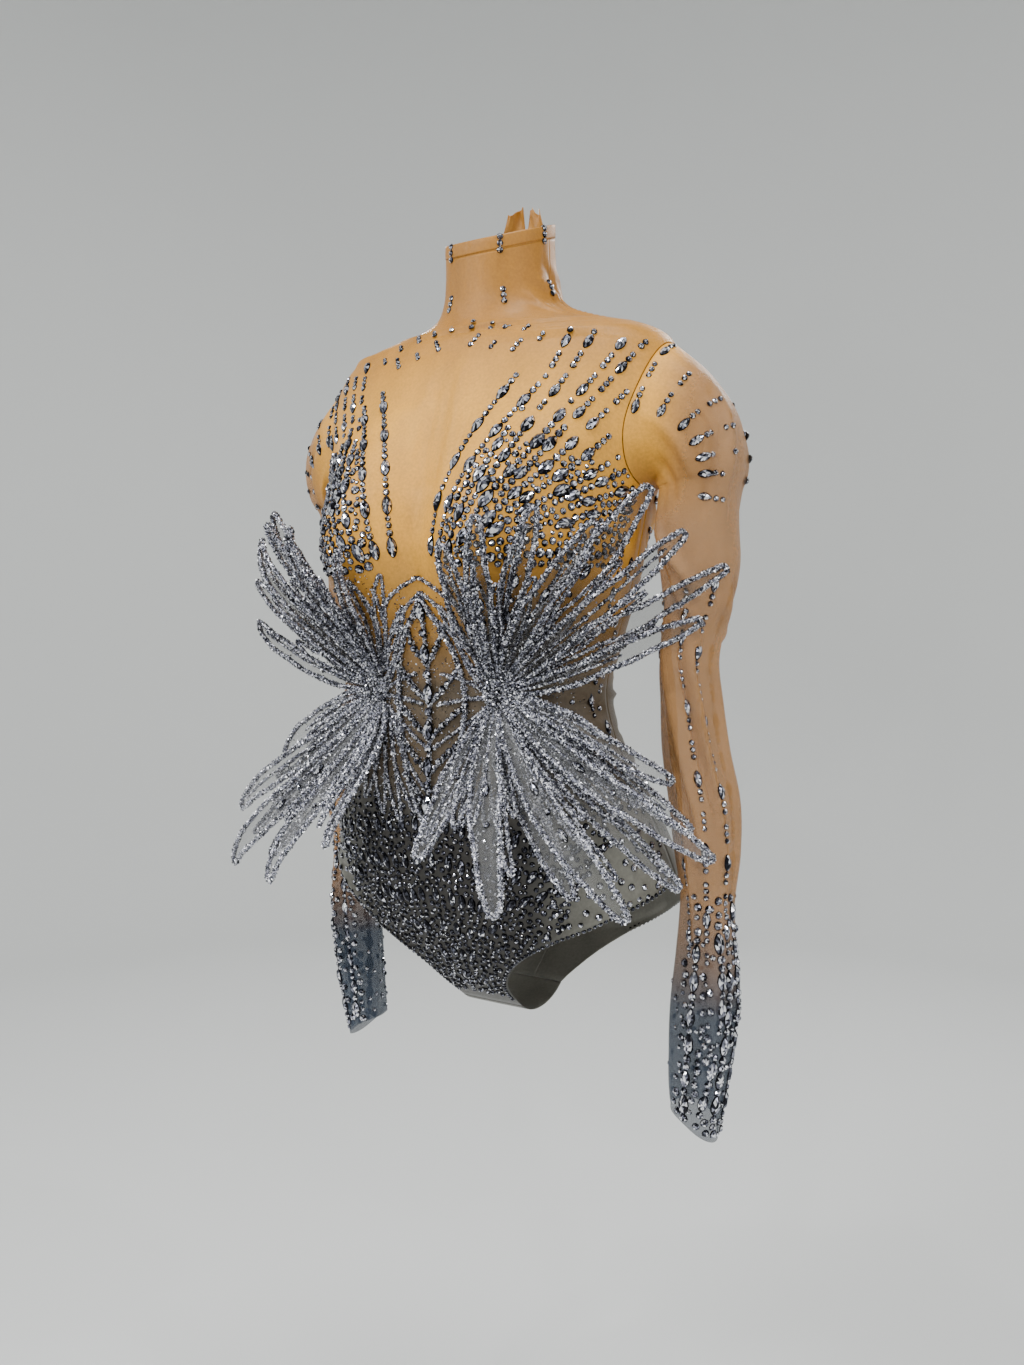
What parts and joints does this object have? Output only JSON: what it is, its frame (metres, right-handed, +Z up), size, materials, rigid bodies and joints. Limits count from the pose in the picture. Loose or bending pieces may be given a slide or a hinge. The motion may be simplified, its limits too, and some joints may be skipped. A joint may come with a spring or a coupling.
{
  "type": "rhinestone bodysuit",
  "caption": "Hollow, worn-shape stretch-net stage bodysuit with mock neck, long sleeves, brief leg openings, stone trim and fans of stiff organza petals at the waist.",
  "frame": {"origin": "on the wearer's midline between the shoulders, at the foot of the neck, where the suit is carried", "axes": "+X to the wearer's left, -Y to the front, +Z up"},
  "size_m": [0.4836, 0.3248, 0.8345],
  "materials": {
    "net": "sheer nude stretch net",
    "organza": "grey organza with silver glitter edges",
    "crystal": "foil-backed cut stones, pale silver grey",
    "tape": "woven nude tape"
  },
  "bodies": {
    "root": {"front_body": "net", "back_body_left": "net", "back_body_right": "net", "gusset": "net", "neck_band": "net", "closure_tape": "tape", "closure_end_left": "net", "closure_end_right": "net", "sleeve_left": "net", "sleeve_right": "net", "waist_applique": "organza", "boss_left": "crystal", "boss_right": "crystal", "petal_upper_left_1": "organza", "petal_upper_left_2": "organza", "petal_upper_left_3": "organza", "petal_upper_left_4": "organza", "petal_upper_left_5": "organza", "petal_upper_left_6": "organza", "petal_upper_left_7": "organza", "petal_upper_left_8": "organza", "petal_lower_left_1": "organza", "petal_lower_left_2": "organza", "petal_lower_left_3": "organza", "petal_lower_left_4": "organza", "petal_lower_left_5": "organza", "petal_lower_left_6": "organza", "petal_lower_left_7": "organza", "petal_lower_left_8": "organza", "petal_upper_right_1": "organza", "petal_upper_right_2": "organza", "petal_upper_right_3": "organza", "petal_upper_right_4": "organza", "petal_upper_right_5": "organza", "petal_upper_right_6": "organza", "petal_upper_right_7": "organza", "petal_upper_right_8": "organza", "petal_lower_right_1": "organza", "petal_lower_right_2": "organza", "petal_lower_right_3": "organza", "petal_lower_right_4": "organza", "petal_lower_right_5": "organza", "petal_lower_right_6": "organza", "petal_lower_right_7": "organza", "petal_lower_right_8": "organza"}
  },
  "joints": []
}
